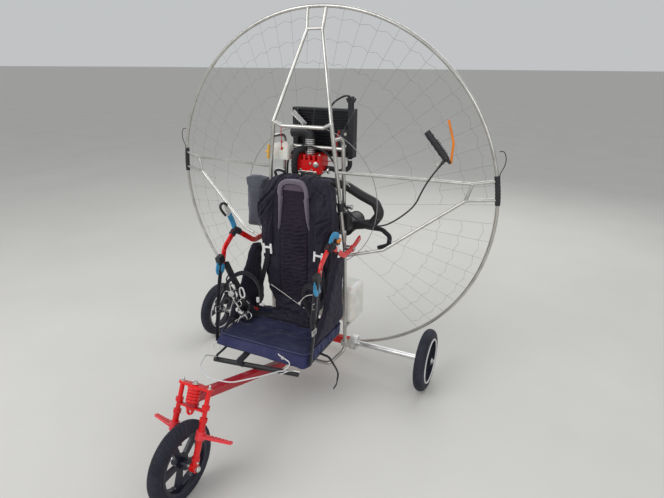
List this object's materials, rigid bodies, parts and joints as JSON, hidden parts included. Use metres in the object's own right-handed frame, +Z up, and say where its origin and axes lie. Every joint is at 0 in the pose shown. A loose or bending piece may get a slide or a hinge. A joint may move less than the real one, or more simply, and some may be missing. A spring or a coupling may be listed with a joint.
{
  "type": "paramotor trike",
  "caption": "Powered-paraglider motor unit with hooped cage, harness and seat, standing on a light steered trike; no propeller fitted.",
  "frame": {"origin": "on the ground, in the middle of the whole footprint", "axes": "+X to the pilot's left, +Y to the rear, +Z up; the trike faces -Y"},
  "size_m": [1.6678, 1.3565, 1.6943],
  "materials": {
    "red_paint": "gloss red paint over steel",
    "dark_red_paint": "gloss dark red paint over steel",
    "steel_tube": "brushed stainless tube",
    "aluminium": "bare aluminium",
    "cast_alloy": "cast alloy, darkened by use",
    "black_metal": "matt black heatproof paint",
    "black_plastic": "moulded black plastic",
    "white_plastic": "translucent white plastic",
    "tyre_rubber": "black rubber with block tread",
    "hose_rubber": "black reinforced rubber",
    "navy_fabric": "dark navy nylon",
    "black_fabric": "black padded nylon",
    "grey_fabric": "grey-mauve padded fabric",
    "webbing": "black woven webbing",
    "orange_plastic": "orange plastic",
    "yellow_plastic": "yellow plastic",
    "wire": "plastic-coated steel wire"
  },
  "bodies": {
    "airframe": {"air_box": "black_plastic", "axle_clamp_left": "aluminium", "axle_clamp_right": "aluminium", "axle_tube_left": "aluminium", "axle_tube_right": "aluminium", "backrest": "black_fabric", "cable_clamp": "black_plastic", "carburettor": "aluminium", "chassis_frame": "steel_tube", "collar": "grey_fabric", "coolant_hoses": "hose_rubber", "crankcase": "cast_alloy", "cylinder": "cast_alloy", "cylinder_head": "red_paint", "exhaust_pipe": "black_metal", "expansion_tank": "white_plastic", "foot_bar": "black_metal", "fuel_tank": "white_plastic", "hanging_arm_left": "red_paint", "hanging_arm_right": "red_paint", "hoop_joint_left": "black_plastic", "hoop_joint_right": "black_plastic", "hoop_lower": "steel_tube", "hoop_upper": "steel_tube", "main_beam": "dark_red_paint", "radiator": "black_metal", "radiator_cap": "black_metal", "rear_crossmember": "red_paint", "reduction_drive": "cast_alloy", "seat_board": "black_plastic", "seat_cushion": "navy_fabric", "shoulder_straps": "webbing", "side_panel_left": "black_fabric", "side_panel_right": "black_fabric", "side_pocket": "grey_fabric", "side_spar_left": "steel_tube", "side_spar_right": "steel_tube", "silencer": "black_metal", "starter_handle": "yellow_plastic", "tail_pipe": "hose_rubber", "throttle_cable": "hose_rubber", "throttle_grip": "black_plastic", "throttle_lever": "orange_plastic", "top_mast": "steel_tube", "wire_loop": "wire"},
    "fork": {"fork": "red_paint", "foot_pegs": "red_paint", "front_axle": "aluminium"},
    "front_wheel": {"front_rim": "black_plastic", "front_tyre": "tyre_rubber"},
    "rear_wheel_left": {"rear_left_rim": "black_plastic", "rear_left_tyre": "tyre_rubber"},
    "rear_wheel_right": {"rear_right_rim": "black_plastic", "rear_right_tyre": "tyre_rubber"},
    "propeller_hub": {"propeller_hub": "aluminium"}
  },
  "joints": [
    {"name": "steering", "type": "hinge", "parent": "airframe", "child": "fork", "pos_m": [0, -0.53026, 0.148], "axis": [0, 0.4195, 0.9078], "range_deg": [-35, 35]},
    {"name": "front_wheel_spin", "type": "hinge", "parent": "fork", "child": "front_wheel", "pos_m": [0, -0.53026, 0.148], "axis": [1, 0, 0], "continuous": true},
    {"name": "rear_wheel_left_spin", "type": "hinge", "parent": "airframe", "child": "rear_wheel_left", "pos_m": [0.6, 0.47074, 0.148], "axis": [1, 0, 0], "continuous": true},
    {"name": "rear_wheel_right_spin", "type": "hinge", "parent": "airframe", "child": "rear_wheel_right", "pos_m": [-0.6, 0.47074, 0.148], "axis": [1, 0, 0], "continuous": true},
    {"name": "propeller_hub_spin", "type": "hinge", "parent": "airframe", "child": "propeller_hub", "pos_m": [0, 0.57574, 0.8637], "axis": [0, 0.9984, 0.0558], "continuous": true}
  ]
}
